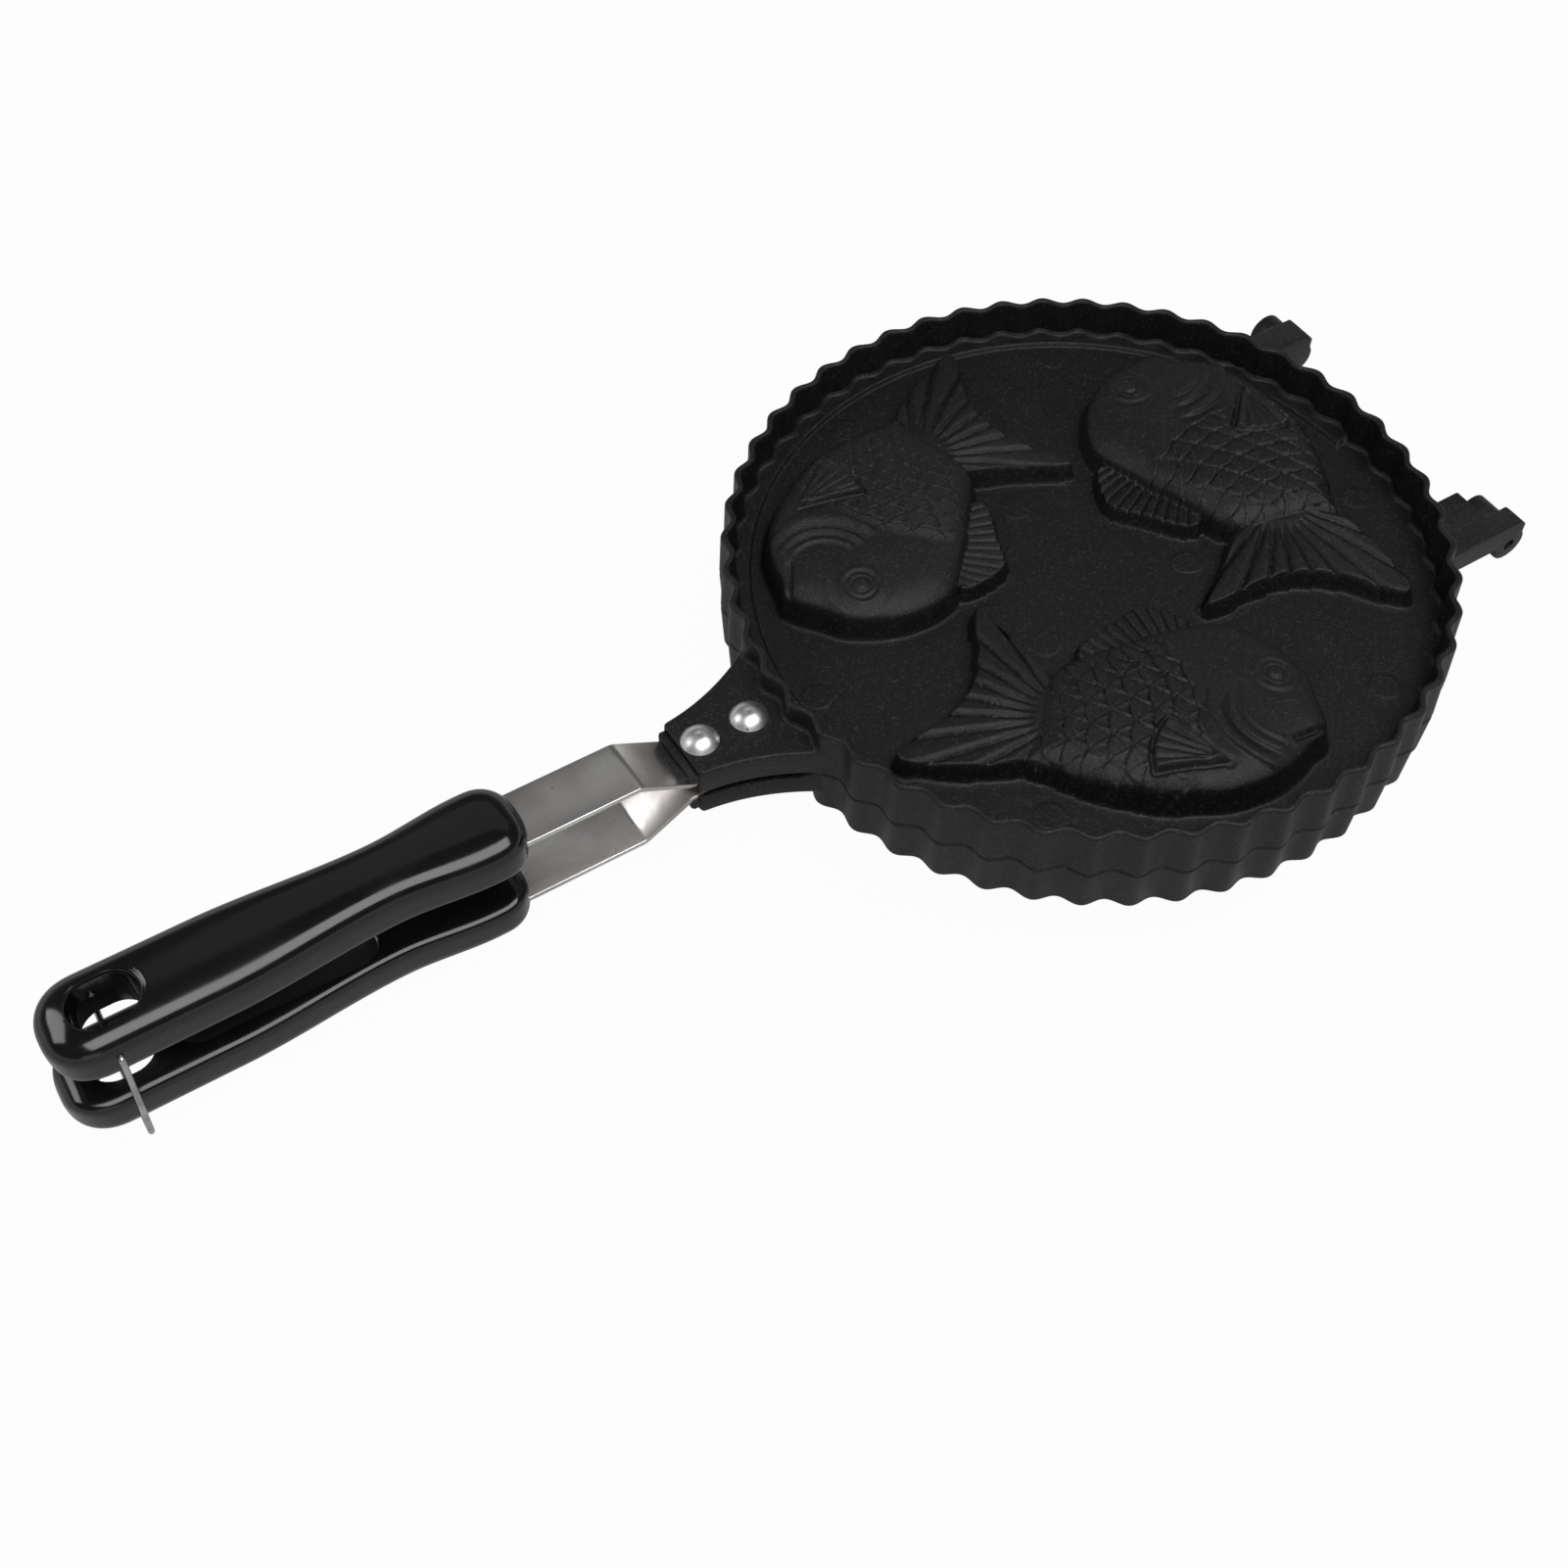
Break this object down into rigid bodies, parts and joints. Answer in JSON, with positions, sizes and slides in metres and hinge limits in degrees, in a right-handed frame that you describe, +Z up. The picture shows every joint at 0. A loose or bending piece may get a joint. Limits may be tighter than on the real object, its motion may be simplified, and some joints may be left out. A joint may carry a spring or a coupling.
{
  "type": "taiyaki pan",
  "caption": "Hinged round double pan with fluted walls, fish-shaped moulds, two long paired handles and a wire latch, for baking filled fish-shaped cakes over a burner.",
  "frame": {"origin": "centre of the round pan, in the plane of the lower casting's base rim", "axes": "+Z up, handles along -X, hinge at +X with its axis along Y"},
  "size_m": [0.4088, 0.2, 0.0402],
  "materials": {
    "coated_casting": "matte dark non-stick coating",
    "stainless_strip": "brushed",
    "black_grip": "glossy",
    "bright_rivet": "bright",
    "steel_pin": "brushed",
    "steel_wire": "bright"
  },
  "bodies": {
    "lower_half": {"lower_pan": "coated_casting", "lower_tang": "stainless_strip", "lower_grip": "black_grip", "lower_rivet_inner": "bright_rivet", "lower_rivet_outer": "bright_rivet", "hinge_pin_near": "steel_pin"},
    "upper_half": {"upper_pan": "coated_casting", "upper_tang": "stainless_strip", "upper_grip": "black_grip", "upper_rivet_inner": "bright_rivet", "upper_rivet_outer": "bright_rivet", "hinge_pin_far": "steel_pin"},
    "latch": {"latch_wire": "steel_wire"}
  },
  "joints": [
    {"name": "lid_hinge", "type": "hinge", "parent": "lower_half", "child": "upper_half", "pos_m": [0.1086, 0, 0.01475], "axis": [0, 1, 0], "range_deg": [0, 180]},
    {"name": "latch_swing", "type": "hinge", "parent": "upper_half", "child": "latch", "pos_m": [-0.2784, 0, 0.027], "axis": [0, 1, 0], "range_deg": [0, 150]}
  ]
}
